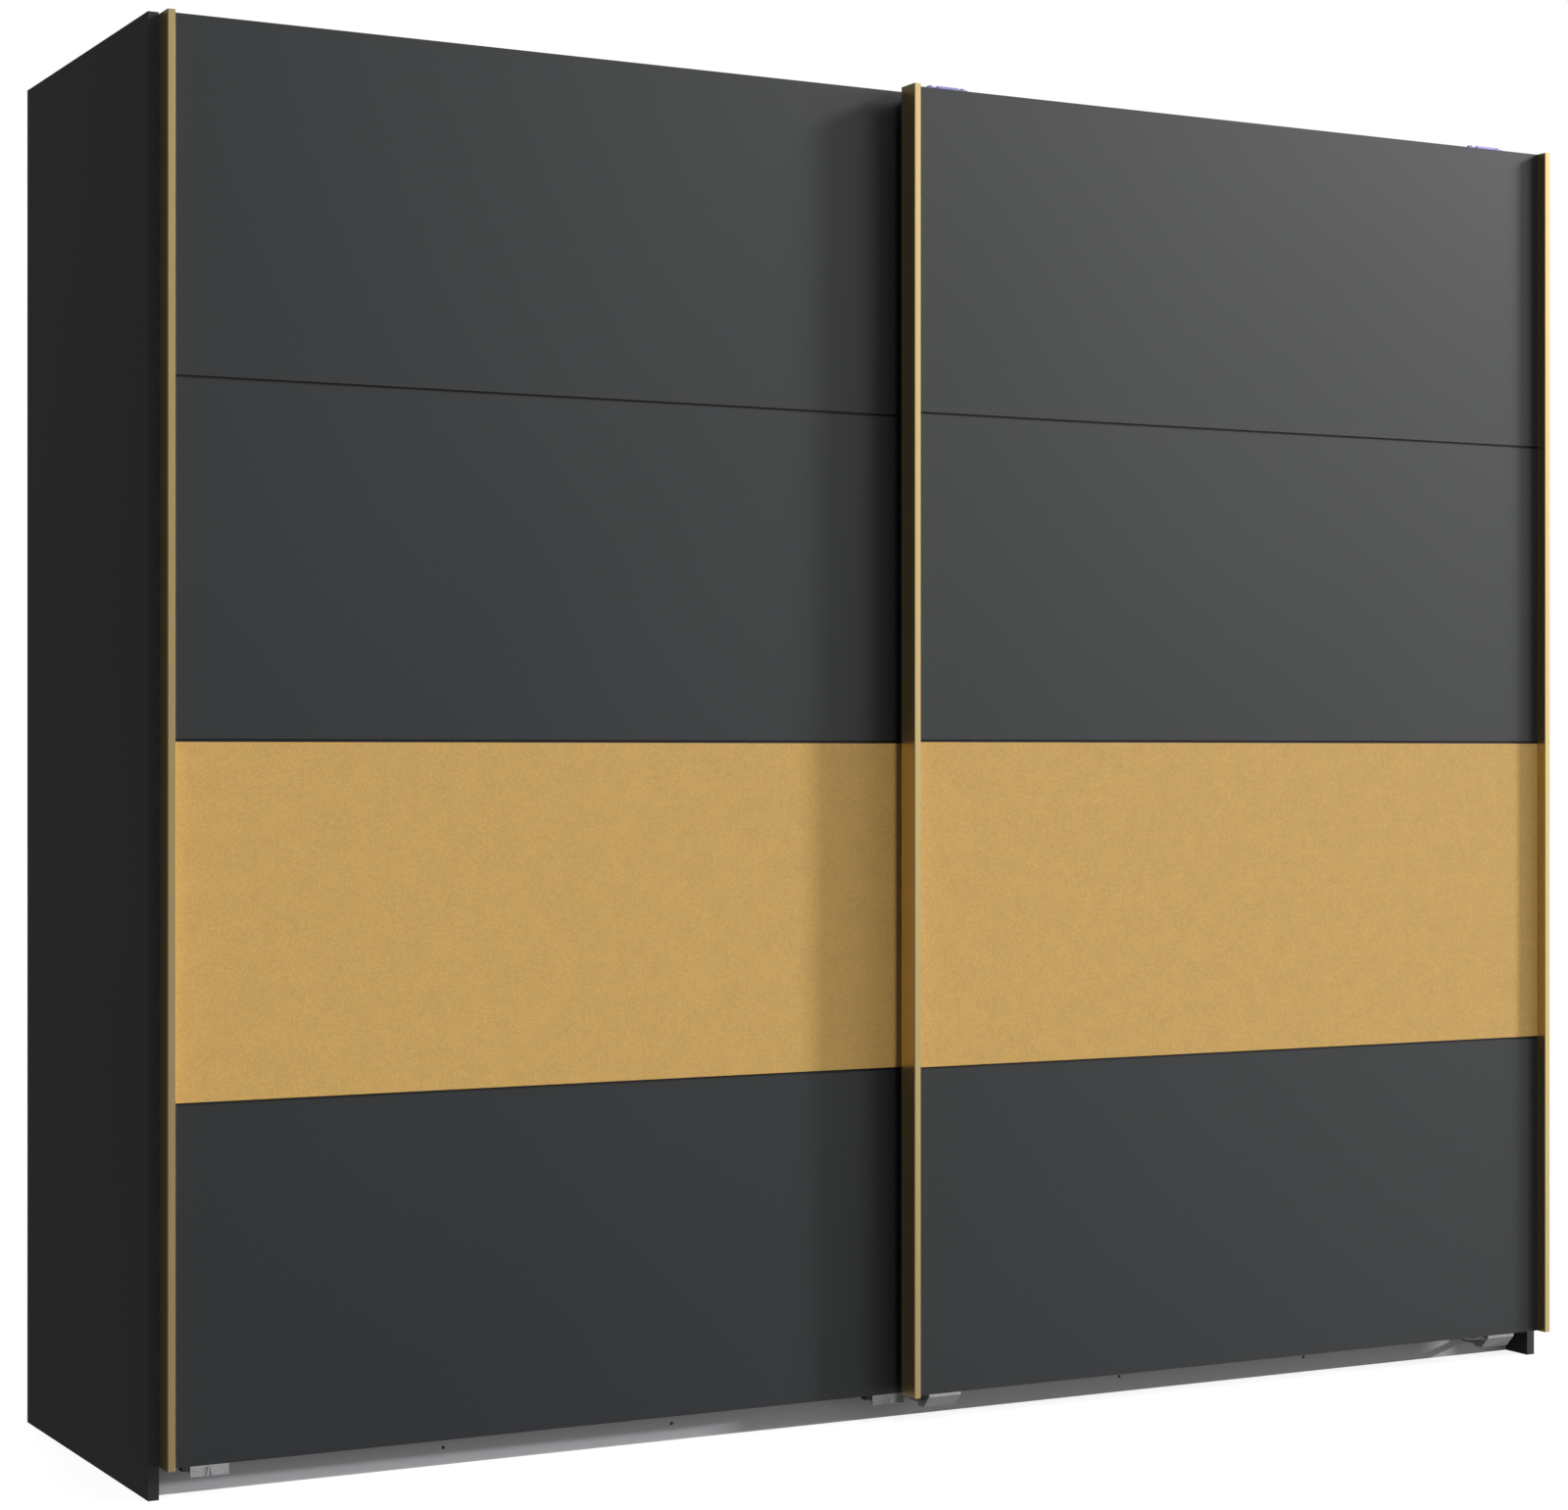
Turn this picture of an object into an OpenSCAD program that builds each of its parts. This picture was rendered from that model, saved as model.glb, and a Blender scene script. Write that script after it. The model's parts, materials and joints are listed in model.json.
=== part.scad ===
// Sliding door wardrobe: two overlapping doors that hang on rollers in front of
// one carcass. The left door runs in the rear lane and the right door in the
// front lane. Each door is four panels held between upright edge profiles.
//
// X runs along the width, the doors face -Y and Z points up. The origin lies on
// the floor, under the centre of the overall box. Lengths are in millimetres.

/* [Wardrobe] */
// Width over both side panels
wardrobe_width = 2500; // [2200:10:2800]
// Height of the side panels
wardrobe_height = 2080; // [1980:10:2240]
// Depth of the left side panel
side_panel_depth = 600; // [560:5:640]
// How much further forward the right side panel reaches, towards the front door
right_panel_extra_depth = 24; // [0:1:36]
// Thickness of every board
board = 16; // [15:1:18]

/* [Doors] */
// How far the closed doors overlap in the middle
door_overlap = 94; // [70:2:120]
// Height of the rear door's lower edge above the floor
floor_gap = 47; // [44:1:60]
// Width of the gold edge profiles, seen from the front
handle_width = 11.5; // [10:0.5:16]
// How far the gold edge profiles stand out in front of the panels
handle_projection = 19; // [12:1:24]
// Height of the groove between two door panels
panel_joint = 4; // [3:0.5:6]
// Distance from a door's left edge to its left roller
roller_inset_left = 73; // [60:1:140]
// Distance from a door's right edge to its right roller
roller_inset_right = 126; // [110:1:180]

/* [Interior] */
// Clear height above the hat shelves
top_compartment_height = 280; // [200:10:400]
// Depth of the hat shelves, front to back
hat_shelf_depth = 480; // [400:10:520]
// Outside diameter of the clothes rails
clothes_rail_diameter = 25; // [20:1:30]

/* [Hidden] */
$fn = 48;

// Carcass planes, front to back.
running_gap = 1;
profile_lip = 4;
profile_wall = 3.5;
profile_bevel = 1;
passing_gap = 1.5;
door_step = running_gap + profile_lip + board + handle_projection;
front_door_back_offset = door_step + passing_gap + profile_lip;
door_stack = front_door_back_offset + board + handle_projection;
total_depth = side_panel_depth + door_stack;
carcass_front = door_stack - total_depth / 2;
carcass_back = total_depth / 2;
half_width = wardrobe_width / 2;
inner_half = half_width - board;
half_board = board / 2;

// Boards of the carcass.
plinth_height = floor_gap + 17;
plinth_setback = 29;
rear_plinth_inset = 10;
plinth_block_reach = 15;
plinth_block_depth = 22;
top_board_z = wardrobe_height - board;
bottom_board_top = plinth_height + board;
back_panel_thickness = 3;
back_panel_inset = 10;
back_groove_depth = 6;
back_panel_y = carcass_back - back_panel_inset - back_panel_thickness;
back_panel_low = plinth_height - 6;
back_panel_gap = 1.5;
back_panel_seat = back_groove_depth - 1;
back_joint_x = inner_half / 2;
back_groove_play = 0.2;
board_back = back_panel_y - 1.2;
track_depth = 46;
bottom_board_front = carcass_front + 2;
top_board_front = bottom_board_front + track_depth;
partition_front = carcass_front + 30;
plinth_face = carcass_front + plinth_setback;
plinth_screw_z = 25;
plinth_screw_head_radius = 2.6;
plinth_screw_sink = 0.5;
plinth_screw_pitch_inner = 0.165 * wardrobe_width;
plinth_screw_pitch_outer = 0.316 * wardrobe_width;

// Doors. Both are the same size; the front one hangs a little higher.
door_top_gap = 3;
front_door_lift = 2;
door_side_inset = board - 0.5;
door_width = half_width - door_side_inset + door_overlap / 2;
door_height = wardrobe_height - door_top_gap - floor_gap;
panel_height = (door_height - 3 * panel_joint) / 4;
rear_door_left = -half_width + door_side_inset;
rear_door_back = carcass_front - running_gap - profile_lip;
rear_door_bottom = floor_gap;
front_door_left = half_width - door_side_inset - door_width;
front_door_back = carcass_front - front_door_back_offset;
front_door_bottom = floor_gap + front_door_lift;
tongue_depth = 5;
tongue_thickness = 3;
joint_recess = 2.5;

// Top track, rollers and their axles.
track_floor_z = wardrobe_height - 40;
track_sheet = 2;
track_web = 3;
track_lip = 6;
track_screw_count = 6;
track_screw_margin = 150;
roller_radius = 12;
roller_groove_radius = 9.5;
roller_width = 8;
roller_bore = 3.05;
axle_radius = 3;
axle_collar_radius = 5;
axle_head = 2;
side_play = 0.5;
roller_z = wardrobe_height - 18;
roller_flange = 1.2;
roller_shoulder = 2.3;
rib_play = 0.3;
rib_top_z = roller_z - roller_groove_radius - rib_play;
rear_lane_y = carcass_front + 12;
front_lane_y = carcass_front + 34;
rear_roller_x = [rear_door_left + roller_inset_left, rear_door_left + door_width - roller_inset_right];
front_roller_x = [front_door_left + roller_inset_left, front_door_left + door_width - roller_inset_right];
bracket_sheet = 2;
rear_bracket_width = 60;
rear_bracket_height = 82;
rear_bracket_top = rear_door_bottom + door_height - 3;
rear_bracket_screw_spread = 20;
rear_bracket_screw_rows = [30, 64];
front_bracket_width = 72;
front_bracket_screw_spread = 29;
front_bracket_inset = 1.5;
front_arm_width = 38;
front_arm_thickness = 3.5;
front_leg_thickness = 3;
front_leg_back = front_lane_y - 10;
leg_below_axle = 8;
stop_length = 20;
stop_gap = 2;
stop_half_depth = 5;
stop_play = 0.1;

// Bottom guides.
guide_width = 57;
guide_tongue_width = 28;
guide_flange = 4;
rear_guide_drop = 15;
rear_guide_block = 9;
rear_guide_skirt = 2.5;
rear_guide_screw_places = [0.2, 0.8];
ridge_count = 4;
ridge_pitch = 3;
ridge_depth = 0.9;
chevron_relief = 1.4;
chevron_leg = 2.2;
chevron_spread = 5;
chevron_top_gap = 1;
lever_width = 12;
lever_depth = 14;
lever_height = 6;
lever_setback = 0.4;
front_guide_drop = 23;
front_guide_lip = 5;
front_guide_setback = 1;
front_guide_slope = 16.5;
front_guide_web = 5;
front_guide_wedge = 34;
front_guide_wedge_top = 11;
front_guide_screw_places = [0.1, 0.9];
front_guide_screw_y = 12.2;
guide_inset_left = 39;
rear_guide_inset_right = 77;
front_guide_inset_right = 64;
rail_groove_depth = 14;
rail_sheet = 1.5;
rail_roof = 2;
rail_pitch = 12.25;
rail_bottom_z = plinth_height - rail_groove_depth;
fin_top_z = rail_bottom_z + 10;
fin_thickness = 3.5;
rear_fin_y = carcass_front + 7;
front_fin_y = carcass_front + 19.5;
rear_guide_x = [rear_door_left + guide_inset_left,
                rear_door_left + door_width - rear_guide_inset_right - guide_width];
front_guide_x = [front_door_left + guide_inset_left,
                 front_door_left + door_width - front_guide_inset_right - guide_width];

// Interior and fittings.
shelf_gap = 1;
hat_shelf_z = top_board_z - top_compartment_height - board;
hat_shelf_front = board_back - hat_shelf_depth;
pin_radius = 2.5;
pin_seat = 6;
pin_length = 14;
pin_setback = 50;
rail_radius = clothes_rail_diameter / 2;
rail_wall = 1;
rail_drop = 60;
socket_base = 3;
socket_length = 14;
socket_wall = 6;
socket_play = 0.1;
clothes_rail_y = (top_board_front + board_back) / 2;
clothes_rail_z = hat_shelf_z - rail_drop;
cam_radius = 7.5;
cam_depth = 12;
cam_distance = 34;
bolt_radius = 3;
bolt_seat = 9;
bolt_hole_extra = 4;
bolt_play = 0.5;
cam_rows = [top_board_front + 80, board_back - 100];
hole_play = 0.05;
screw_radius = 2;
screw_head_radius = 4;
screw_head_height = 2;
screw_length = 14;
recess_width = 0.9;
recess_depth = 1.2;

graphite = [0.15, 0.16, 0.17];
graphite_joint = [0.06, 0.06, 0.065];
gold = [0.78, 0.63, 0.38];
carcass_white = [0.62, 0.61, 0.60];
light_grey = [0.58, 0.58, 0.60];
aluminium = [0.72, 0.73, 0.75];
steel = [0.62, 0.63, 0.65];
dark_plastic = [0.10, 0.10, 0.11];
hardboard = [0.55, 0.45, 0.34];

// ---------------------------------------------------------------- helpers

// A block between two opposite corners.
module block(low, high) {
    translate(low) cube(high - low);
}

// Extrudes a Y-Z outline along X, from x_low to x_high.
module along_x(x_low, x_high) {
    translate([x_low, 0, 0]) rotate([90, 0, 90]) linear_extrude(x_high - x_low) children();
}

// A round bar that starts at a point and runs along +X, +Y or +Z.
module bar_x(start, radius, length) {
    translate(start) rotate([0, 90, 0]) cylinder(r = radius, h = length);
}

module bar_y(start, radius, length) {
    translate(start) rotate([-90, 0, 0]) cylinder(r = radius, h = length);
}

module bar_z(start, radius, length) {
    translate(start) cylinder(r = radius, h = length);
}

// Cross-head screw whose head rests on z = 0 and whose shank points down.
module screw(head_radius = screw_head_radius) {
    reach = 0.6 * head_radius;
    difference() {
        cylinder(r = head_radius, h = screw_head_height);
        for (turn = [0, 90])
            rotate(turn)
                block([-reach, -recess_width / 2, screw_head_height - recess_depth],
                      [reach, recess_width / 2, screw_head_height + 1]);
    }
    translate([0, 0, -screw_length]) cylinder(r = screw_radius, h = screw_length);
}

module screw_hole() {
    translate([0, 0, -screw_length]) cylinder(r = screw_radius + hole_play, h = screw_length);
}

// ---------------------------------------------------------------- screw and fitting places

track_screw_pitch = 2 * (inner_half - track_screw_margin) / (track_screw_count - 1);
track_screw_x = [for (i = [0:track_screw_count - 1])
    -inner_half + track_screw_margin + i * track_screw_pitch];
plinth_screw_x = [-plinth_screw_pitch_outer, -plinth_screw_pitch_inner,
                  plinth_screw_pitch_inner, plinth_screw_pitch_outer];

module at_track_screws() {
    for (x = track_screw_x)
        translate([x, top_board_front - track_web, wardrobe_height - half_board])
            rotate([90, 0, 0]) children();
}

// The plinth screws sit in counterbores, just below the surface.
module at_plinth_screws() {
    for (x = plinth_screw_x)
        translate([x, plinth_face + screw_head_height + plinth_screw_sink, plinth_screw_z])
            rotate([90, 0, 0]) children();
}

module at_rear_bracket_screws() {
    for (x = rear_roller_x, side = [-1, 1], depth = rear_bracket_screw_rows)
        translate([x + side * rear_bracket_screw_spread, rear_door_back + bracket_sheet,
                   rear_bracket_top - depth])
            rotate([-90, 0, 0]) children();
}

module at_front_bracket_screws() {
    for (x = front_roller_x, side = [-1, 1])
        translate([x + side * front_bracket_screw_spread, front_door_back - half_board,
                   front_door_bottom + door_height + bracket_sheet])
            children();
}

module at_rear_guide_screws() {
    for (x = rear_guide_x, place = rear_guide_screw_places)
        translate([x + place * guide_width, rear_door_back - half_board, rear_door_bottom - rear_guide_block])
            rotate([180, 0, 0]) children();
}

module at_front_guide_screws() {
    for (x = front_guide_x, place = front_guide_screw_places)
        translate([x + place * guide_width, front_door_back - board + front_guide_screw_y,
                   front_door_bottom - guide_flange])
            rotate([180, 0, 0]) children();
}

// Cams at both ends of a long board whose underside is at z_low.
module board_cams(z_low) {
    for (side = [-1, 1], y = cam_rows)
        bar_z([side * (inner_half - cam_distance), y, z_low], cam_radius, cam_depth);
}

// Bolts that tie the ends of a long board to the side panels. Their holes run on
// by `extra` into the cams.
module board_bolts(z_low, radius, extra = 0) {
    length = cam_distance - cam_radius + bolt_seat + extra;
    for (side = [-1, 1], y = cam_rows)
        bar_x([side == 1 ? inner_half + bolt_seat - length : -inner_half - bolt_seat, y, z_low + half_board],
              radius, length);
}

module partition_cams() {
    for (y = cam_rows, z = [bottom_board_top + cam_distance, top_board_z - cam_distance])
        bar_x([-half_board, y, z], cam_radius, cam_depth);
}

module partition_bolts(radius, extra = 0) {
    length = cam_distance - cam_radius + bolt_seat + extra;
    for (y = cam_rows, z = [bottom_board_top - bolt_seat, top_board_z + bolt_seat - length])
        bar_z([0, y, z], radius, length);
}

// Shelf pins sit in the side panels and the partition and reach under each shelf.
module shelf_pin_bars(radius) {
    for (place = [[-inner_half, 1], [-half_board, -1], [half_board, 1], [inner_half, -1]],
         y = [hat_shelf_front + pin_setback, board_back - pin_setback])
        bar_x([place[0] - (place[1] == 1 ? pin_seat : pin_length - pin_seat), y, hat_shelf_z - pin_radius],
              radius, pin_length);
}

// ---------------------------------------------------------------- carcass

// Upright panel between two X planes, with a groove for the back panels.
module side_panel(x_low, front, groove_low, groove_high) {
    color(graphite)
    difference() {
        block([x_low, front, 0], [x_low + board, carcass_back, wardrobe_height]);
        block([groove_low, back_panel_y - back_groove_play, -1],
              [groove_high, back_panel_y + back_panel_thickness + back_groove_play, wardrobe_height + 1]);
        board_bolts(plinth_height, bolt_radius + hole_play);
        board_bolts(top_board_z, bolt_radius + hole_play);
        shelf_pin_bars(pin_radius + hole_play);
    }
}

module left_side_panel() {
    side_panel(-half_width, carcass_front, -inner_half - back_groove_depth, -inner_half + 1);
}

module right_side_panel() {
    side_panel(inner_half, carcass_front - right_panel_extra_depth,
               inner_half - 1, inner_half + back_groove_depth);
}

// The partition is notched at the top front, where the track runs past it.
module centre_partition() {
    color(carcass_white)
    difference() {
        block([-half_board, partition_front, bottom_board_top], [half_board, board_back, top_board_z]);
        block([-half_board - 1, partition_front - 1, track_floor_z - track_lip - 2],
              [half_board + 1, top_board_front, top_board_z + 1]);
        partition_cams();
        partition_bolts(bolt_radius + bolt_play, bolt_hole_extra);
        shelf_pin_bars(pin_radius + hole_play);
    }
}

// A board that runs from one side panel to the other.
module long_board(front, z_low) {
    difference() {
        block([-inner_half, front, z_low], [inner_half, board_back, z_low + board]);
        board_cams(z_low);
        board_bolts(z_low, bolt_radius + bolt_play, bolt_hole_extra);
        partition_bolts(bolt_radius + hole_play);
        children();
    }
}

module bottom_board() {
    color(carcass_white) long_board(bottom_board_front, plinth_height);
}

module top_board() {
    color(graphite) long_board(top_board_front, top_board_z) at_track_screws() screw_hole();
}

module plinth_front() {
    color(light_grey)
    difference() {
        block([-inner_half, plinth_face, 0], [inner_half, plinth_face + board, plinth_height]);
        at_plinth_screws() {
            screw_hole();
            cylinder(r = plinth_screw_head_radius + hole_play, h = board);
        }
    }
}

module plinth_rear() {
    color(light_grey)
    block([-inner_half, board_back - rear_plinth_inset - board, 0],
          [inner_half, board_back - rear_plinth_inset, plinth_height]);
}

// Small blocks that tie the plinth to the bottom board, one behind each screw.
module plinth_blocks() {
    color(dark_plastic)
    difference() {
        for (x = plinth_screw_x)
            block([x - plinth_block_reach, plinth_face + board, plinth_screw_z - plinth_block_reach],
                  [x + plinth_block_reach, plinth_face + board + plinth_block_depth, plinth_height]);
        at_plinth_screws() screw_hole();
    }
}

// Four thin back panels: the outer two sit in the side panels' grooves.
module back_panel(x_low, x_high) {
    color(hardboard)
    block([x_low, back_panel_y, back_panel_low],
          [x_high, back_panel_y + back_panel_thickness, wardrobe_height]);
}

module back_panel_far_left() {
    back_panel(-inner_half - back_panel_seat, -back_joint_x - back_panel_gap / 2);
}

module back_panel_left() {
    back_panel(-back_joint_x + back_panel_gap / 2, -back_panel_gap / 6);
}

module back_panel_right() {
    back_panel(back_panel_gap / 6, back_joint_x - back_panel_gap / 2);
}

module back_panel_far_right() {
    back_panel(back_joint_x + back_panel_gap / 2, inner_half + back_panel_seat);
}

// H-shaped strip between two back panels.
module back_joiner(x) {
    flange = 9;
    sheet = 0.9;
    web = 1;
    color(carcass_white)
    translate([x, 0, back_panel_low]) linear_extrude(wardrobe_height - back_panel_low) {
        translate([-web / 2, back_panel_y - sheet]) square([web, back_panel_thickness + 2 * sheet]);
        for (y = [back_panel_y - sheet, back_panel_y + back_panel_thickness])
            translate([-flange, y]) square([2 * flange, sheet]);
    }
}

module back_joiners() {
    for (side = [-1, 1])
        back_joiner(side * back_joint_x);
}

// ---------------------------------------------------------------- tracks

// Two-lane track: a web on the top board's front edge, a floor and two ribs.
module top_track() {
    color(aluminium)
    difference() {
        along_x(-inner_half, inner_half) {
            translate([bottom_board_front, track_floor_z])
                square([track_depth, track_sheet]);
            translate([bottom_board_front, track_floor_z - track_lip])
                square([track_sheet, track_lip + track_sheet]);
            translate([top_board_front - track_web, track_floor_z])
                square([track_web, wardrobe_height - track_floor_z]);
            for (lane = [rear_lane_y, front_lane_y])
                translate([lane - track_sheet / 2, track_floor_z])
                    square([track_sheet, rib_top_z - track_floor_z]);
        }
        at_track_screws() screw_hole();
    }
}

// Rubber blocks clipped over the ribs where each door's travel ends.
module track_stops() {
    reach = roller_radius + stop_gap;
    left_end = rear_roller_x[0] - reach - stop_length;
    right_end = front_roller_x[1] + reach;
    color(dark_plastic)
    for (x = [left_end, right_end], lane = [rear_lane_y, front_lane_y])
        difference() {
            block([x, lane - stop_half_depth, track_floor_z + track_sheet],
                  [x + stop_length, lane + stop_half_depth, rib_top_z + stop_half_depth]);
            block([x - 1, lane - track_sheet / 2 - stop_play, track_floor_z],
                  [x + stop_length + 1, lane + track_sheet / 2 + stop_play, rib_top_z + stop_play]);
        }
}

// Two grooves that open downwards, one for each door's guide fins.
module bottom_guide_rail() {
    color(aluminium)
    along_x(-inner_half, inner_half) {
        translate([bottom_board_front, plinth_height - rail_roof])
            square([2 * rail_pitch + rail_sheet, rail_roof]);
        for (wall = [0:2])
            translate([bottom_board_front + wall * rail_pitch, rail_bottom_z])
                square([rail_sheet, rail_groove_depth]);
    }
}

// ---------------------------------------------------------------- interior

module hat_shelf(x_low, x_high) {
    color(carcass_white)
    block([x_low + shelf_gap, hat_shelf_front, hat_shelf_z],
          [x_high - shelf_gap, board_back, hat_shelf_z + board]);
}

module hat_shelf_left() {
    hat_shelf(-inner_half, -half_board);
}

module hat_shelf_right() {
    hat_shelf(half_board, inner_half);
}

module shelf_pins() {
    color(steel) shelf_pin_bars(pin_radius);
}

module clothes_rail(x_low, x_high) {
    color(steel)
    difference() {
        bar_x([x_low + socket_base, clothes_rail_y, clothes_rail_z], rail_radius,
              x_high - x_low - 2 * socket_base);
        bar_x([x_low, clothes_rail_y, clothes_rail_z], rail_radius - rail_wall, x_high - x_low);
    }
}

module clothes_rail_left() {
    clothes_rail(-inner_half, -half_board);
}

module clothes_rail_right() {
    clothes_rail(half_board, inner_half);
}

// Cups that hold the ends of the clothes rails.
module rail_sockets() {
    color(dark_plastic)
    for (place = [[-inner_half, 90], [-half_board, -90], [half_board, 90], [inner_half, -90]])
        translate([place[0], clothes_rail_y, clothes_rail_z]) rotate([0, place[1], 0])
            difference() {
                cylinder(r = rail_radius + socket_wall, h = socket_length);
                translate([0, 0, socket_base]) cylinder(r = rail_radius + socket_play, h = socket_length);
            }
}

module cam_housings() {
    color(steel) {
        board_cams(plinth_height);
        board_cams(top_board_z);
        partition_cams();
    }
}

module cam_bolts() {
    color(steel) {
        board_bolts(plinth_height, bolt_radius);
        board_bolts(top_board_z, bolt_radius);
        partition_bolts(bolt_radius);
    }
}

module carcass_screws() {
    color(steel) {
        at_track_screws() screw();
        at_plinth_screws() screw(plinth_screw_head_radius);
    }
}

// ---------------------------------------------------------------- doors

// Moves a door drawn at its own lower left back corner to its place.
module on_rear_door() {
    translate([rear_door_left, rear_door_back, rear_door_bottom]) children();
}

module on_front_door() {
    translate([front_door_left, front_door_back, front_door_bottom]) children();
}

// Panel 0 is the lowest of the four and panel 3 the highest.
function panel_z(index) = index * (panel_height + panel_joint);

// One panel, grooved for the joint strips above and below it.
module door_panel(index) {
    groove = tongue_depth + 0.3;
    groove_reach = tongue_thickness / 2 + 0.1;
    low = panel_z(index);
    high = low + panel_height;
    difference() {
        block([profile_wall, -board, low], [door_width - profile_wall, 0, high]);
        if (index > 0)
            block([0, -half_board - groove_reach, low - 1],
                  [door_width, -half_board + groove_reach, low + groove]);
        if (index < 3)
            block([0, -half_board - groove_reach, high - groove],
                  [door_width, -half_board + groove_reach, high + 1]);
    }
}

// Joint strip above panel `index`: a web set back from the faces and two tongues.
module door_joint(index) {
    low = panel_z(index) + panel_height;
    color(graphite_joint) {
        block([profile_wall, -board + joint_recess, low], [door_width - profile_wall, 0, low + panel_joint]);
        block([profile_wall, -half_board - tongue_thickness / 2, low - tongue_depth],
              [door_width - profile_wall, -half_board + tongue_thickness / 2,
               low + panel_joint + tongue_depth]);
    }
}

// Upright profile on a door's left edge. It grips the boards and its front
// flange stands out by `projection`.
module edge_profile(projection) {
    front = -board - projection;
    color(gold)
    linear_extrude(door_height)
    polygon([
        [0, profile_lip],
        [handle_width, profile_lip],
        [handle_width, 0],
        [profile_wall, 0],
        [profile_wall, -board],
        [handle_width, -board],
        [handle_width, front + profile_bevel],
        [handle_width - profile_bevel, front],
        [profile_bevel, front],
        [0, front + profile_bevel]
    ]);
}

// The same profile on a door's right edge.
module right_edge_profile(projection) {
    translate([door_width, 0, 0]) mirror([1, 0, 0]) edge_profile(projection);
}

module left_door_panel_top() {
    color(graphite)
    difference() {
        on_rear_door() door_panel(3);
        at_rear_bracket_screws() screw_hole();
    }
}

module left_door_panel_upper() {
    color(graphite) on_rear_door() door_panel(2);
}

module left_door_panel_gold() {
    color(gold) on_rear_door() door_panel(1);
}

module left_door_panel_bottom() {
    color(graphite)
    difference() {
        on_rear_door() door_panel(0);
        at_rear_guide_screws() screw_hole();
    }
}

module left_door_joint_top() {
    on_rear_door() door_joint(2);
}

module left_door_joint_middle() {
    on_rear_door() door_joint(1);
}

module left_door_joint_bottom() {
    on_rear_door() door_joint(0);
}

module left_door_handle_profile() {
    on_rear_door() edge_profile(handle_projection);
}

// Flat profile on the edge that stays behind the front door.
module left_door_edge_profile() {
    on_rear_door() right_edge_profile(profile_lip);
}

module right_door_panel_top() {
    color(graphite)
    difference() {
        on_front_door() door_panel(3);
        at_front_bracket_screws() screw_hole();
    }
}

module right_door_panel_upper() {
    color(graphite) on_front_door() door_panel(2);
}

module right_door_panel_gold() {
    color(gold) on_front_door() door_panel(1);
}

module right_door_panel_bottom() {
    color(graphite)
    difference() {
        on_front_door() door_panel(0);
        at_front_guide_screws() screw_hole();
    }
}

module right_door_joint_top() {
    on_front_door() door_joint(2);
}

module right_door_joint_middle() {
    on_front_door() door_joint(1);
}

module right_door_joint_bottom() {
    on_front_door() door_joint(0);
}

module right_door_handle_left() {
    on_front_door() edge_profile(handle_projection);
}

module right_door_handle_right() {
    on_front_door() right_edge_profile(handle_projection);
}

// ---------------------------------------------------------------- rollers and brackets

// Grooved wheel that runs on a track rib. It turns about its own Y axis.
module roller(x, lane) {
    middle = roller_width / 2;
    color(dark_plastic)
    translate([x, lane - middle, roller_z]) rotate([-90, 0, 0]) rotate_extrude()
    polygon([
        [roller_bore, 0],
        [roller_radius, 0],
        [roller_radius, roller_flange],
        [roller_groove_radius, roller_shoulder],
        [roller_groove_radius, roller_width - roller_shoulder],
        [roller_radius, roller_width - roller_flange],
        [roller_radius, roller_width],
        [roller_bore, roller_width]
    ]);
}

// Rivet that carries a roller: a spigot through the bracket, a collar, the
// running shaft and a head.
module axle(x, spigot_start, spigot_end, lane) {
    collar_end = lane - roller_width / 2 - side_play;
    head_start = lane + roller_width / 2 + side_play;
    bar_y([x, spigot_start, roller_z], axle_radius, head_start - spigot_start);
    bar_y([x, spigot_end, roller_z], axle_collar_radius, collar_end - spigot_end);
    bar_y([x, head_start, roller_z], axle_collar_radius, axle_head);
}

// Flat plate on the back of the rear door.
module rear_bracket(x) {
    color(steel)
    difference() {
        block([x - rear_bracket_width / 2, rear_door_back, rear_bracket_top - rear_bracket_height],
              [x + rear_bracket_width / 2, rear_door_back + bracket_sheet, rear_bracket_top]);
        bar_y([x, rear_door_back - 1, roller_z], axle_radius, bracket_sheet + 2);
        at_rear_bracket_screws() screw_hole();
    }
}

// Plate on the front door's top edge. A raised arm passes back over the rear
// door and turns down to the roller.
module front_bracket(x) {
    base = front_door_bottom + door_height;
    face = front_door_back - board;
    color(steel)
    difference() {
        union() {
            block([x - front_bracket_width / 2, face + front_bracket_inset, base],
                  [x + front_bracket_width / 2, front_door_back - front_bracket_inset, base + bracket_sheet]);
            block([x - front_arm_width / 2, face + front_bracket_inset / 3, base],
                  [x + front_arm_width / 2, front_leg_back, base + front_arm_thickness]);
            block([x - front_arm_width / 2, front_leg_back - front_leg_thickness, roller_z - leg_below_axle],
                  [x + front_arm_width / 2, front_leg_back, base + front_arm_thickness]);
        }
        bar_y([x, front_leg_back - front_leg_thickness - 1, roller_z], axle_radius, front_leg_thickness + 2);
        at_front_bracket_screws() screw_hole();
    }
}

module left_door_bracket_left() {
    rear_bracket(rear_roller_x[0]);
}

module left_door_bracket_right() {
    rear_bracket(rear_roller_x[1]);
}

module left_door_axles() {
    color(steel)
    for (x = rear_roller_x)
        axle(x, rear_door_back, rear_door_back + bracket_sheet, rear_lane_y);
}

module left_door_roller_left() {
    roller(rear_roller_x[0], rear_lane_y);
}

module left_door_roller_right() {
    roller(rear_roller_x[1], rear_lane_y);
}

module right_door_bracket_left() {
    front_bracket(front_roller_x[0]);
}

module right_door_bracket_right() {
    front_bracket(front_roller_x[1]);
}

module right_door_axles() {
    color(steel)
    for (x = front_roller_x)
        axle(x, front_leg_back - front_leg_thickness, front_leg_back, front_lane_y);
}

module right_door_roller_left() {
    roller(front_roller_x[0], front_lane_y);
}

module right_door_roller_right() {
    roller(front_roller_x[1], front_lane_y);
}

// ---------------------------------------------------------------- bottom guides

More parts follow.
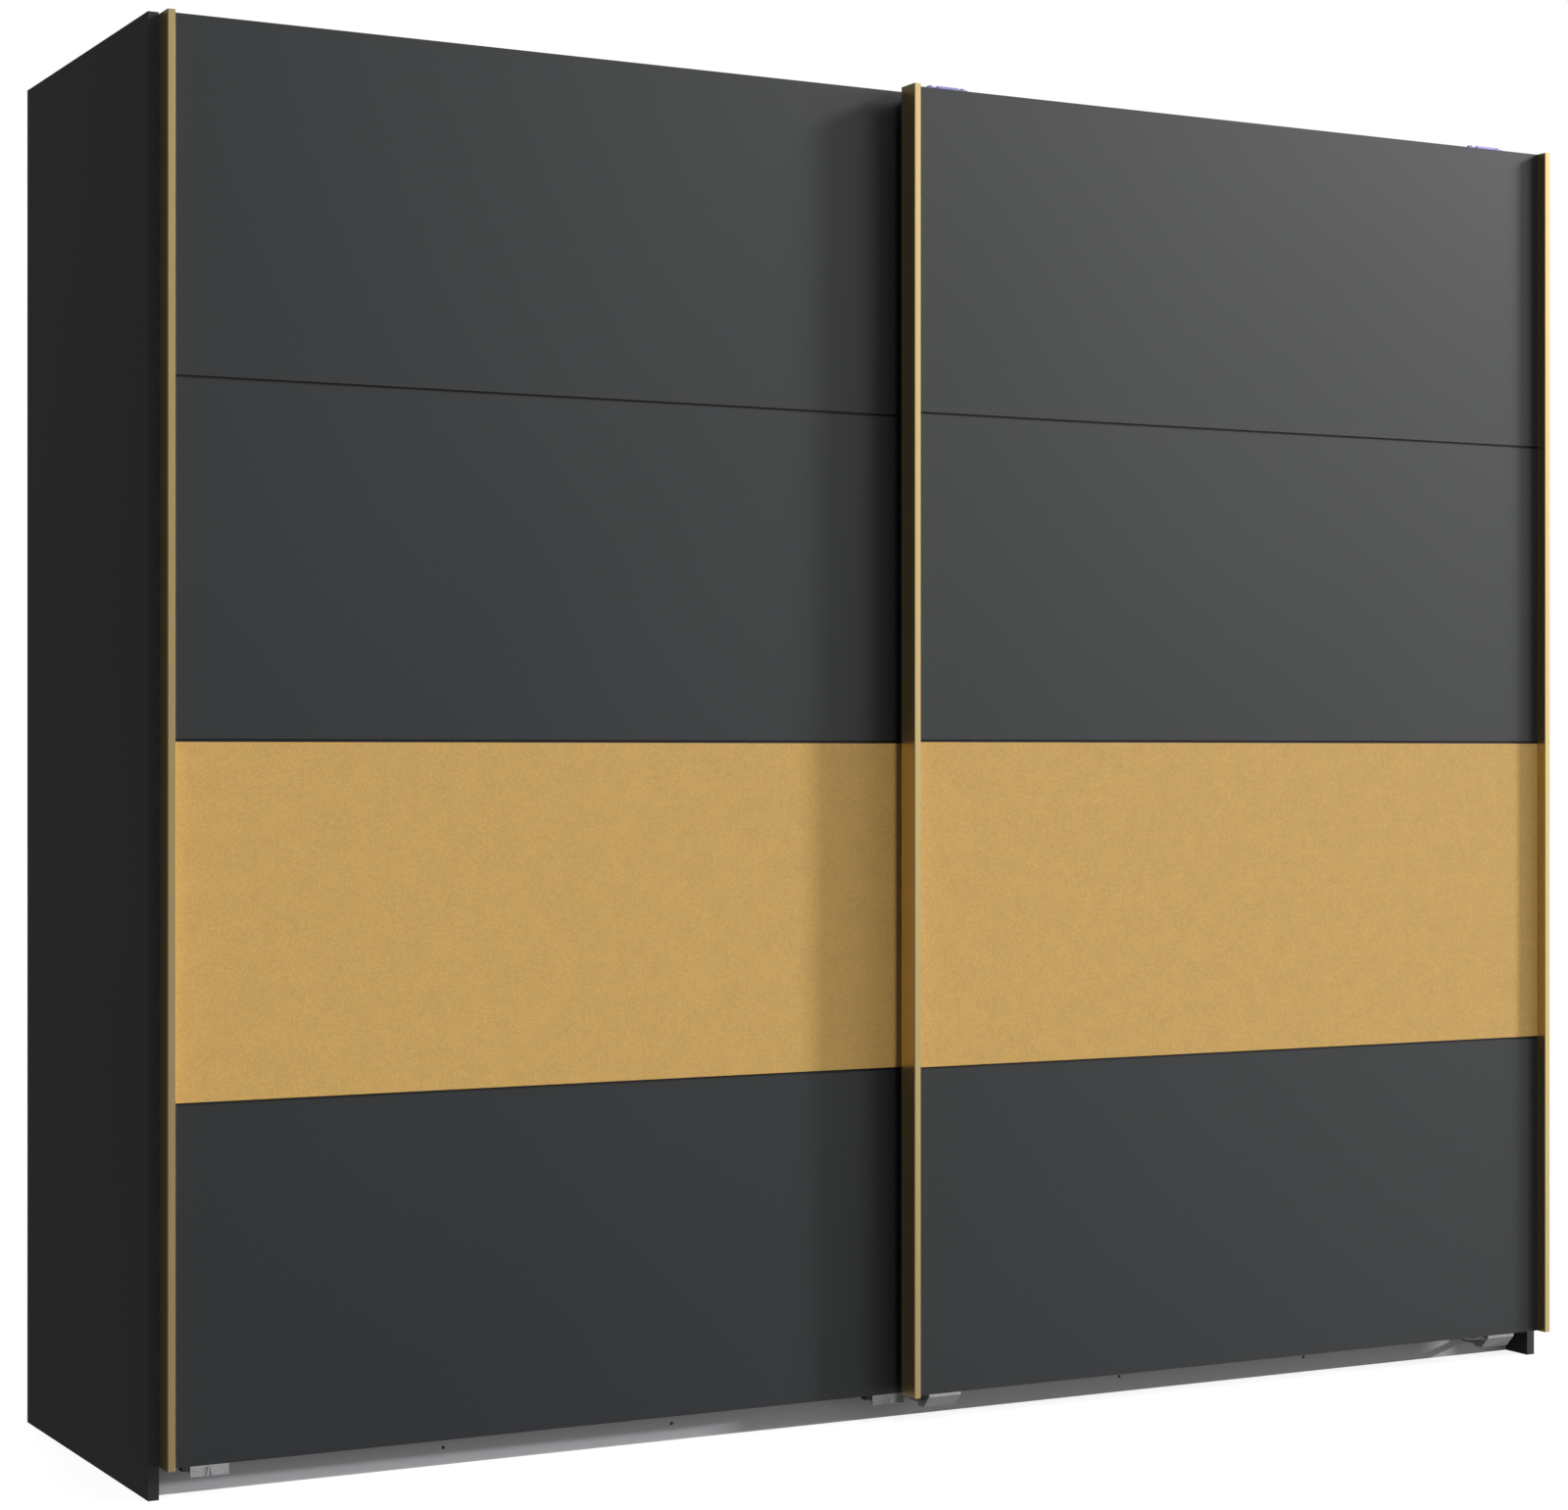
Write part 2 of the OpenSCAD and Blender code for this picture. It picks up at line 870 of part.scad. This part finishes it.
// Narrow tongue that reaches back from `start` and turns up into a rail groove.
module guide_tongue(x, start, z_low, fin) {
    margin = (guide_width - guide_tongue_width) / 2;
    along_x(x + margin, x + margin + guide_tongue_width) {
        translate([start, z_low]) square([fin + fin_thickness - start, guide_flange]);
        translate([fin, z_low]) square([fin_thickness, fin_top_z - z_low]);
    }
}

// Raised chevron in the middle of a rear guide's skirt: two slim legs that meet at the top.
module guide_chevron(x, face) {
    inner = chevron_spread - chevron_leg;
    middle = x + guide_width / 2;
    top = rear_door_bottom - chevron_top_gap;
    low = rear_door_bottom - rear_guide_drop;
    root = (ridge_depth + rear_guide_skirt) / 2;
    translate([0, face + root, 0]) rotate([90, 0, 0])
        linear_extrude(root + chevron_relief)
            polygon([
                [middle - chevron_leg, top],
                [middle + chevron_leg, top],
                [middle + chevron_spread, low],
                [middle + inner, low],
                [middle, top - chevron_leg],
                [middle - inner, low],
                [middle - chevron_spread, low]
            ]);
}

// Moulding under the rear door: a ridged skirt in line with the face, a block and a tongue.
module rear_guide(x) {
    face = rear_door_back - board;
    top = rear_door_bottom;
    skirt_low = top - rear_guide_drop;
    grooves = [for (i = [1:ridge_count]) top - (i + 0.5) * ridge_pitch];
    groove_points = [for (z = grooves, step = [1, 0, -1])
                     [face + (step == 0 ? ridge_depth : 0), z + step * ridge_depth]];
    color(light_grey)
    difference() {
        union() {
            along_x(x, x + guide_width)
                polygon(concat(
                    [[face, top]],
                    groove_points,
                    [
                        [face, skirt_low],
                        [face + rear_guide_skirt, skirt_low],
                        [face + rear_guide_skirt, top - rear_guide_block],
                        [rear_door_back, top - rear_guide_block],
                        [rear_door_back, top]
                    ]
                ));
            guide_chevron(x, face);
            guide_tongue(x, rear_door_back - bracket_sheet, top - rear_guide_block, rear_fin_y);
        }
        at_rear_guide_screws() screw_hole();
    }
}

// Catch beside a rear guide. It locks the guide's fin into the rail.
module guide_lever(x) {
    front = rear_door_back - board + lever_setback;
    block([x - lever_width, front, rear_door_bottom - lever_height],
          [x, front + lever_depth, rear_door_bottom]);
}

// Moulding under the front door: a lip, a plate that slopes back below it, a wedge
// behind the plate and a tongue that passes under the rear door.
module front_guide(x) {
    face = front_door_back - board;
    top = front_door_bottom;
    low = top - front_guide_drop;
    lip = face + front_guide_setback;
    rake = front_guide_slope / (front_guide_drop - front_guide_lip);
    inner = lip + front_guide_web - rake * front_guide_lip;
    color(light_grey)
    difference() {
        union() {
            along_x(x, x + guide_width)
                polygon([
                    [lip, top],
                    [lip, top - front_guide_lip],
                    [lip + front_guide_slope, low],
                    [lip + front_guide_wedge, low],
                    [lip + front_guide_wedge, low + guide_flange],
                    [inner + rake * front_guide_wedge_top, top - front_guide_wedge_top],
                    [inner + rake * guide_flange, top - guide_flange],
                    [front_door_back, top - guide_flange],
                    [front_door_back, top]
                ]);
            guide_tongue(x, lip + front_guide_wedge - 1, low, front_fin_y);
        }
        at_front_guide_screws() screw_hole();
    }
}

module left_door_guide_left() {
    rear_guide(rear_guide_x[0]);
}

module left_door_guide_right() {
    rear_guide(rear_guide_x[1]);
}

module left_door_guide_levers() {
    color(dark_plastic)
    for (x = rear_guide_x)
        guide_lever(x);
}

module right_door_guide_left() {
    front_guide(front_guide_x[0]);
}

module right_door_guide_right() {
    front_guide(front_guide_x[1]);
}

module left_door_screws() {
    color(steel) {
        at_rear_bracket_screws() screw();
        at_rear_guide_screws() screw();
    }
}

module right_door_screws() {
    color(steel) {
        at_front_bracket_screws() screw();
        at_front_guide_screws() screw();
    }
}

// ---------------------------------------------------------------- build

left_side_panel();
right_side_panel();
centre_partition();
bottom_board();
top_board();
plinth_front();
plinth_rear();
plinth_blocks();
back_panel_far_left();
back_panel_left();
back_panel_right();
back_panel_far_right();
back_joiners();
top_track();
track_stops();
bottom_guide_rail();
hat_shelf_left();
hat_shelf_right();
shelf_pins();
clothes_rail_left();
clothes_rail_right();
rail_sockets();
cam_housings();
cam_bolts();
carcass_screws();
left_door_panel_top();
left_door_panel_upper();
left_door_panel_gold();
left_door_panel_bottom();
left_door_joint_top();
left_door_joint_middle();
left_door_joint_bottom();
left_door_handle_profile();
left_door_edge_profile();
left_door_bracket_left();
left_door_bracket_right();
left_door_axles();
left_door_guide_left();
left_door_guide_right();
left_door_guide_levers();
left_door_screws();
left_door_roller_left();
left_door_roller_right();
right_door_panel_top();
right_door_panel_upper();
right_door_panel_gold();
right_door_panel_bottom();
right_door_joint_top();
right_door_joint_middle();
right_door_joint_bottom();
right_door_handle_left();
right_door_handle_right();
right_door_bracket_left();
right_door_bracket_right();
right_door_axles();
right_door_guide_left();
right_door_guide_right();
right_door_screws();
right_door_roller_left();
right_door_roller_right();
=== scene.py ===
import json
import math

import bmesh
import bpy
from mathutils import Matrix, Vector


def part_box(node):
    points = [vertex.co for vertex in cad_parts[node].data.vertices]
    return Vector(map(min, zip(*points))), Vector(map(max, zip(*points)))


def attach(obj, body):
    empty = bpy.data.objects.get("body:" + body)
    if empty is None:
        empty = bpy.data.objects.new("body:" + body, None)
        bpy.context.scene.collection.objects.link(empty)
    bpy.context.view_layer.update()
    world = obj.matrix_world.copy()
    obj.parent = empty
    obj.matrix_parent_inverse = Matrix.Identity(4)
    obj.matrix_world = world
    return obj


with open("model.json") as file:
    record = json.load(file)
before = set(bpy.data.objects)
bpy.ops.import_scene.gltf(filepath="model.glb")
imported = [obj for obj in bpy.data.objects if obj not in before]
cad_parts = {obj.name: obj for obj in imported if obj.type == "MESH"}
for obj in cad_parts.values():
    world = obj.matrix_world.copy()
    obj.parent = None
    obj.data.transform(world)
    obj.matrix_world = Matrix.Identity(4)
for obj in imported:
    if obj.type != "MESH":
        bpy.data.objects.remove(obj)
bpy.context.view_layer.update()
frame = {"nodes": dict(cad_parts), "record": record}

NODES = frame["nodes"]
SLOT_OF_NODE = {part["node"]: part["material_slot"] for part in frame["record"]["subparts"]}
BOARD_SLOTS = {"graphite_board", "graphite_door", "gold_panel", "interior_board", "plinth_grey"}
MILLIMETRE = 0.001

# Noise seldom leaves this band, so the helpers below stretch the band over their whole range.
NOISE_LOW = 0.35
NOISE_HIGH = 0.65


# ---------------------------------------------------------------- material helpers

def new_material(name, **constants):
    """A Principled material. Values that are the same all over go straight on the shader."""
    material = bpy.data.materials.new(name)
    material.use_nodes = True
    shader = material.node_tree.nodes["Principled BSDF"]
    for socket, value in constants.items():
        shader.inputs[socket.replace("_", " ")].default_value = value
    return material, material.node_tree, shader


def pattern(tree, size, stretch=(1, 1, 1), detail=3):
    """Noise whose features are about `size` metres across, longer along a stretched axis."""
    coordinates = tree.nodes.new("ShaderNodeTexCoord")
    mapping = tree.nodes.new("ShaderNodeMapping")
    mapping.inputs["Scale"].default_value = [1 / factor for factor in stretch]
    noise = tree.nodes.new("ShaderNodeTexNoise")
    noise.inputs["Scale"].default_value = 1 / size
    noise.inputs["Detail"].default_value = detail
    tree.links.new(coordinates.outputs["Object"], mapping.inputs["Vector"])
    tree.links.new(mapping.outputs["Vector"], noise.inputs["Vector"])
    return noise.outputs["Fac"]


def between(tree, source, low, high, start=NOISE_LOW, end=NOISE_HIGH):
    """Turns a source that runs from `start` to `end` into one that runs from `low` to `high`."""
    scale = tree.nodes.new("ShaderNodeMapRange")
    scale.inputs["From Min"].default_value = start
    scale.inputs["From Max"].default_value = end
    scale.inputs["To Min"].default_value = low
    scale.inputs["To Max"].default_value = high
    tree.links.new(source, scale.inputs["Value"])
    return scale.outputs["Result"]


def two_tones(tree, source, dark, light):
    """Turns noise into a colour that runs from `dark` to `light`."""
    ramp = tree.nodes.new("ShaderNodeValToRGB")
    first, last = ramp.color_ramp.elements
    first.position = NOISE_LOW
    last.position = NOISE_HIGH
    first.color = (*dark, 1)
    last.color = (*light, 1)
    tree.links.new(source, ramp.inputs["Fac"])
    return ramp.outputs["Color"]


def mixed(tree, first, second):
    """Half of one colour and half of the other."""
    mix = tree.nodes.new("ShaderNodeMix")
    mix.data_type = "RGBA"
    mix.inputs["Factor"].default_value = 0.5
    tree.links.new(first, mix.inputs["A"])
    tree.links.new(second, mix.inputs["B"])
    return mix.outputs["Result"]


def add_bump(tree, shader, height, depth):
    """Raises the surface by up to `depth` metres where `height` is high."""
    bump = tree.nodes.new("ShaderNodeBump")
    bump.inputs["Strength"].default_value = 1.0
    bump.inputs["Distance"].default_value = depth
    tree.links.new(height, bump.inputs["Height"])
    tree.links.new(bump.outputs["Normal"], shader.inputs["Normal"])


def shade(colour, factor):
    """A darker or lighter version of a colour."""
    return [min(1.0, channel * factor) for channel in colour]


# ---------------------------------------------------------------- materials

def melamine(name, colour, roughness=0.40):
    """Board faced with melamine: a fine pearl texture and very soft clouds of tone."""
    variation = 0.05
    material, tree, shader = new_material(name, Specular_IOR_Level=0.5)
    pearls = pattern(tree, 1.2 * MILLIMETRE, detail=1)
    clouds = pattern(tree, 600 * MILLIMETRE, detail=1)
    fine = two_tones(tree, pearls, shade(colour, 1 - variation), shade(colour, 1 + variation))
    broad = two_tones(tree, clouds, shade(colour, 1 - variation / 2), shade(colour, 1 + variation / 2))
    tree.links.new(mixed(tree, fine, broad), shader.inputs["Base Color"])
    tree.links.new(between(tree, clouds, roughness - 0.01, roughness + 0.01), shader.inputs["Roughness"])
    add_bump(tree, shader, pearls, 0.02 * MILLIMETRE)
    return material


def gold_foil(name, colour):
    """Metallic gold facing with a fine speckle and faint soft blotches."""
    material, tree, shader = new_material(name, Specular_IOR_Level=0.15)
    speckle = pattern(tree, 3.2 * MILLIMETRE)
    blotches = pattern(tree, 30 * MILLIMETRE)
    fine = two_tones(tree, speckle, shade(colour, 0.84), shade(colour, 1.16))
    broad = two_tones(tree, blotches, shade(colour, 0.955), shade(colour, 1.045))
    tree.links.new(mixed(tree, fine, broad), shader.inputs["Base Color"])
    tree.links.new(between(tree, speckle, 0.50, 0.60), shader.inputs["Roughness"])
    add_bump(tree, shader, speckle, 0.05 * MILLIMETRE)
    return material


def brushed_metal(name, colour, roughness, along, metallic=1.0, variation=0.07):
    """Metal with fine lines that run along one axis. A coating lowers `metallic` below 1."""
    material, tree, shader = new_material(name, Metallic=metallic)
    stretch = [60 if axis == along else 1 for axis in "XYZ"]
    lines = pattern(tree, 0.7 * MILLIMETRE, stretch)
    tone = two_tones(tree, lines, shade(colour, 1 - variation), shade(colour, 1 + variation))
    tree.links.new(tone, shader.inputs["Base Color"])
    tree.links.new(between(tree, lines, roughness * (1 - variation), roughness * (1 + variation)),
                   shader.inputs["Roughness"])
    add_bump(tree, shader, lines, 0.02 * MILLIMETRE)
    return material


def moulded_plastic(name, colour, roughness=0.5):
    """Moulded plastic with a fine matt grain."""
    material, tree, shader = new_material(name, Specular_IOR_Level=0.45)
    grain = pattern(tree, 0.5 * MILLIMETRE, detail=2)
    blotches = pattern(tree, 12 * MILLIMETRE)
    tone = two_tones(tree, blotches, shade(colour, 0.94), shade(colour, 1.05))
    tree.links.new(tone, shader.inputs["Base Color"])
    tree.links.new(between(tree, grain, roughness - 0.05, roughness + 0.05), shader.inputs["Roughness"])
    add_bump(tree, shader, grain, 0.04 * MILLIMETRE)
    return material


def linen_board(name, colour):
    """Light board whose facing looks like woven linen."""
    material, tree, shader = new_material(name, Specular_IOR_Level=0.4)
    across = pattern(tree, 1.0 * MILLIMETRE, stretch=(25, 1, 1), detail=2)
    upright = pattern(tree, 1.0 * MILLIMETRE, stretch=(1, 25, 25), detail=2)
    warp = two_tones(tree, across, shade(colour, 0.86), shade(colour, 1.08))
    weft = two_tones(tree, upright, shade(colour, 0.88), shade(colour, 1.06))
    tree.links.new(mixed(tree, warp, weft), shader.inputs["Base Color"])
    tree.links.new(between(tree, across, 0.5, 0.62), shader.inputs["Roughness"])
    add_bump(tree, shader, across, 0.03 * MILLIMETRE)
    return material


def painted_hardboard(name, colour):
    """Thin fibre board with a thin coat of paint."""
    material, tree, shader = new_material(name, Specular_IOR_Level=0.3)
    fibres = pattern(tree, 1.5 * MILLIMETRE, stretch=(1, 1, 4), detail=4)
    tone = two_tones(tree, fibres, shade(colour, 0.88), shade(colour, 1.06))
    tree.links.new(tone, shader.inputs["Base Color"])
    tree.links.new(between(tree, fibres, 0.6, 0.75), shader.inputs["Roughness"])
    add_bump(tree, shader, fibres, 0.06 * MILLIMETRE)
    return material


GRAPHITE = (0.0155, 0.0175, 0.0192)
MATERIALS = {
    "graphite_board": melamine("graphite_side_board", GRAPHITE),
    "graphite_door": melamine("graphite_door_board", GRAPHITE),
    "graphite_joint": moulded_plastic("graphite_joint_strip", (0.010, 0.010, 0.011), 0.55),
    "gold_panel": gold_foil("gold_panel_facing", (0.5145, 0.3205, 0.1025)),
    "gold_profile": brushed_metal("gold_anodised_profile", (0.67, 0.51, 0.235), 0.25, "Z", 0.84, 0.03),
    "interior_board": linen_board("linen_interior_board", (0.42, 0.40, 0.37)),
    "plinth_grey": melamine("light_grey_board", (0.47, 0.47, 0.49), 0.5),
    "hardboard": painted_hardboard("back_hardboard", (0.33, 0.31, 0.29)),
    "white_plastic": moulded_plastic("joiner_plastic", (0.55, 0.55, 0.54)),
    "aluminium_track": brushed_metal("extruded_aluminium", (0.62, 0.63, 0.65), 0.33, "X"),
    "steel": brushed_metal("zinc_plated_steel", (0.50, 0.51, 0.53), 0.36, "X"),
    "blue_zinc": brushed_metal("blue_zinc_plated_steel", (0.26, 0.245, 0.50), 0.36, "X"),
    "dark_plastic": moulded_plastic("dark_fitting_plastic", (0.012, 0.012, 0.013)),
    "roller_plastic": moulded_plastic("nylon_roller", (0.020, 0.020, 0.021), 0.4),
    "dark_screw": brushed_metal("blackened_screw", (0.045, 0.045, 0.048), 0.4, "X"),
    "guide_grey": moulded_plastic("light_grey_moulding", (0.29, 0.29, 0.302), 0.45),
    # Same grey moulding as the line above, painted paler: the extra paleness is painted light for the
    # parts that catch more of the lamps.
    "guide_light": moulded_plastic("guide_moulding_painted_lit", (0.42, 0.42, 0.435), 0.45),
}


def dress_cad_nodes():
    """Gives every CAD node the material of its slot."""
    for name, node in NODES.items():
        node.data.materials.clear()
        node.data.materials.append(MATERIALS[SLOT_OF_NODE[name]])


def soften_board_edges():
    """Gives every board a fine rounded edge that catches the light."""
    for name, node in NODES.items():
        if SLOT_OF_NODE[name] in BOARD_SLOTS:
            node.modifiers.new("joined_corners", "WELD")
            bevel = node.modifiers.new("eased_edges", "BEVEL")
            bevel.width = 0.5 * MILLIMETRE
            bevel.segments = 2
            bevel.limit_method = "ANGLE"


# ---------------------------------------------------------------- details

def add_rib(mesh, centre, front, top, height):
    """One upright rib with a tapered nose. `front` is the plane that it stands on."""
    root = 0.8 * MILLIMETRE
    nose = 0.45 * MILLIMETRE
    relief = 0.8 * MILLIMETRE
    taper = 0.5 * MILLIMETRE
    rings = []
    for z, reach in ((top, relief), (top - height + taper, relief), (top - height, relief / 2)):
        rings.append([
            mesh.verts.new((centre - root, front, z)),
            mesh.verts.new((centre - nose, front - reach, z)),
            mesh.verts.new((centre + nose, front - reach, z)),
            mesh.verts.new((centre + root, front, z)),
        ])
    for upper, lower in zip(rings, rings[1:]):
        for i in range(4):
            j = (i + 1) % 4
            mesh.faces.new((upper[i], lower[i], lower[j], upper[j]))
    mesh.faces.new(rings[0])
    mesh.faces.new(reversed(rings[-1]))


def add_guide_ribs(guide):
    """A row of fine ribs along the lip of one of the front door's guides, in the paler copy of the
    moulding whose extra paleness is painted highlight.
    """
    count = 14
    rib_height = 4.4 * MILLIMETRE
    gap_below_door = 0.3 * MILLIMETRE
    hold_in_lip = 0.1 * MILLIMETRE
    guide_low, guide_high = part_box(guide)
    door_low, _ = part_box("right_door_panel_bottom")
    pitch = (guide_high[0] - guide_low[0]) / count
    mesh = bmesh.new()
    for i in range(count):
        centre = guide_low[0] + (i + 0.5) * pitch
        add_rib(mesh, centre, guide_low[1] + hold_in_lip, door_low[2] - gap_below_door, rib_height)
    bmesh.ops.recalc_face_normals(mesh, faces=mesh.faces)
    data = bpy.data.meshes.new(f"{guide}_ribs")
    mesh.to_mesh(data)
    mesh.free()
    # The paler moulding paints in the highlight that the ribs catch.
    data.materials.append(MATERIALS["guide_light"])
    ribs = bpy.data.objects.new(f"{guide}_ribs", data)
    bpy.context.scene.collection.objects.link(ribs)
    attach(ribs, "right_door")


# ---------------------------------------------------------------- camera, lights, floor

def make_camera():
    """The photograph's own view: level, at half height, from the left of the front."""
    turn_to_the_right = 26.884
    camera_data = bpy.data.cameras.new("camera")
    camera_data.sensor_width = 36
    camera_data.lens = 73.8
    camera_data.shift_x = 0.0886
    camera_data.shift_y = 0.0018
    camera_data.clip_end = 100
    camera = bpy.data.objects.new("camera", camera_data)
    camera.location = (-2.6594, -4.5734, 1.0377)
    camera.rotation_euler = (math.radians(90), 0, math.radians(-turn_to_the_right))
    bpy.context.scene.collection.objects.link(camera)
    bpy.context.scene.camera = camera


def towards(azimuth, elevation):
    """Unit vector towards a light, in degrees: azimuth 0 is straight in front, 90 is at the right."""
    turn = math.radians(azimuth)
    rise = math.radians(elevation)
    return Vector((math.sin(turn) * math.cos(rise), -math.cos(turn) * math.cos(rise), math.sin(rise)))


def make_world():
    """White to the camera. The light it gives is a broad soft box at the right that fades all round."""
    strength = 1.6
    world = bpy.data.worlds.new("studio")
    world.use_nodes = True
    tree = world.node_tree
    background = tree.nodes["Background"]
    background.inputs["Strength"].default_value = strength
    direction = tree.nodes.new("ShaderNodeTexCoord")
    closeness = tree.nodes.new("ShaderNodeVectorMath")
    closeness.operation = "DOT_PRODUCT"
    closeness.inputs[1].default_value = towards(60, 18)
    ramp = tree.nodes.new("ShaderNodeValToRGB")
    stops = ramp.color_ramp.elements
    # How close a direction is to the soft box's middle, from 0 (opposite) to 1, and the brightness.
    fade = [(0.0, 0.065), (0.25, 0.08), (0.45, 0.15), (0.80, 0.12),
            (0.87, 0.17), (0.925, 0.55), (0.96, 0.90), (1.0, 1.0)]
    while len(stops) < len(fade):
        stops.new(0.5)
    for stop, (position, brightness) in zip(stops, fade):
        stop.position = position
        stop.color = (brightness, brightness, brightness, 1)
    rays = tree.nodes.new("ShaderNodeLightPath")
    mix = tree.nodes.new("ShaderNodeMix")
    mix.data_type = "RGBA"
    plain_white = 1 / strength
    mix.inputs["B"].default_value = (plain_white, plain_white, plain_white, 1)
    tree.links.new(direction.outputs["Generated"], closeness.inputs[0])
    tree.links.new(between(tree, closeness.outputs["Value"], 0, 1, -1, 1), ramp.inputs["Fac"])
    tree.links.new(rays.outputs["Is Camera Ray"], mix.inputs["Factor"])
    tree.links.new(ramp.outputs["Color"], mix.inputs["A"])
    tree.links.new(mix.outputs["Result"], background.inputs["Color"])
    bpy.context.scene.world = world


def make_key_light():
    """A broad, low strip of light far off at the right. `irradiance` is what it gives at the wardrobe."""
    distance = 25.0
    irradiance = 2.8
    width_angle = math.radians(5.5)
    height_angle = math.radians(1.2)
    light_data = bpy.data.lights.new("key", "AREA")
    light_data.shape = "RECTANGLE"
    light_data.size = 2 * distance * math.tan(width_angle / 2)
    light_data.size_y = 2 * distance * math.tan(height_angle / 2)
    light_data.energy = irradiance * math.pi * distance ** 2
    direction = towards(67.5, 13.6)
    light = bpy.data.objects.new("key", light_data)
    light.location = direction * distance
    light.rotation_euler = direction.to_track_quat("Z", "Y").to_euler()
    light.visible_glossy = False
    bpy.context.scene.collection.objects.link(light)


def make_sun(name, azimuth, elevation, energy, softness, diffuse=True, glossy=True):
    """A distant light. `softness` is how wide it looks from the wardrobe, in degrees."""
    light_data = bpy.data.lights.new(name, "SUN")
    light_data.energy = energy
    light_data.angle = math.radians(softness)
    light = bpy.data.objects.new(name, light_data)
    light.rotation_euler = towards(azimuth, elevation).to_track_quat("Z", "Y").to_euler()
    light.visible_diffuse = diffuse
    light.visible_glossy = glossy
    bpy.context.scene.collection.objects.link(light)


def make_lights():
    """A low key light from the right, which shades the panels beside the profiles and reaches the
    foot of the plinth under the rear door, a softer light above it for the highlights, a high fill
    from the front, and a light for the back."""
    make_key_light()
    make_sun("shine", azimuth=68, elevation=24, energy=3.2, softness=12, diffuse=False)
    make_sun("fill", azimuth=-4, elevation=45, energy=1.45, softness=12, glossy=False)
    make_sun("back_light", azimuth=165, elevation=42, energy=1.8, softness=20)


def make_floor():
    """Pale floor that glows, so that it stays near white, and throws no light on the wardrobe."""
    size = 30.0
    glow = 0.88
    mesh = bpy.data.meshes.new("floor")
    corners = [(-size, -size, 0), (size, -size, 0), (size, size, 0), (-size, size, 0)]
    mesh.from_pydata(corners, [], [(0, 1, 2, 3)])
    floor = bpy.data.objects.new("floor", mesh)
    material, tree, shader = new_material("pale_floor", Roughness=0.9, Specular_IOR_Level=0.0)
    shader.inputs["Emission Color"].default_value = (1, 1, 1, 1)
    shader.inputs["Emission Strength"].default_value = glow
    blotches = pattern(tree, 600 * MILLIMETRE)
    tone = two_tones(tree, blotches, (0.19, 0.19, 0.19), (0.21, 0.21, 0.21))
    tree.links.new(tone, shader.inputs["Base Color"])
    mesh.materials.append(material)
    floor.visible_diffuse = False
    floor.visible_glossy = False
    bpy.context.scene.collection.objects.link(floor)


dress_cad_nodes()
soften_board_edges()
for guide in ("right_door_guide_left", "right_door_guide_right"):
    add_guide_ribs(guide)
make_camera()
make_world()
make_lights()
make_floor()
bpy.context.scene.view_settings.view_transform = "Standard"
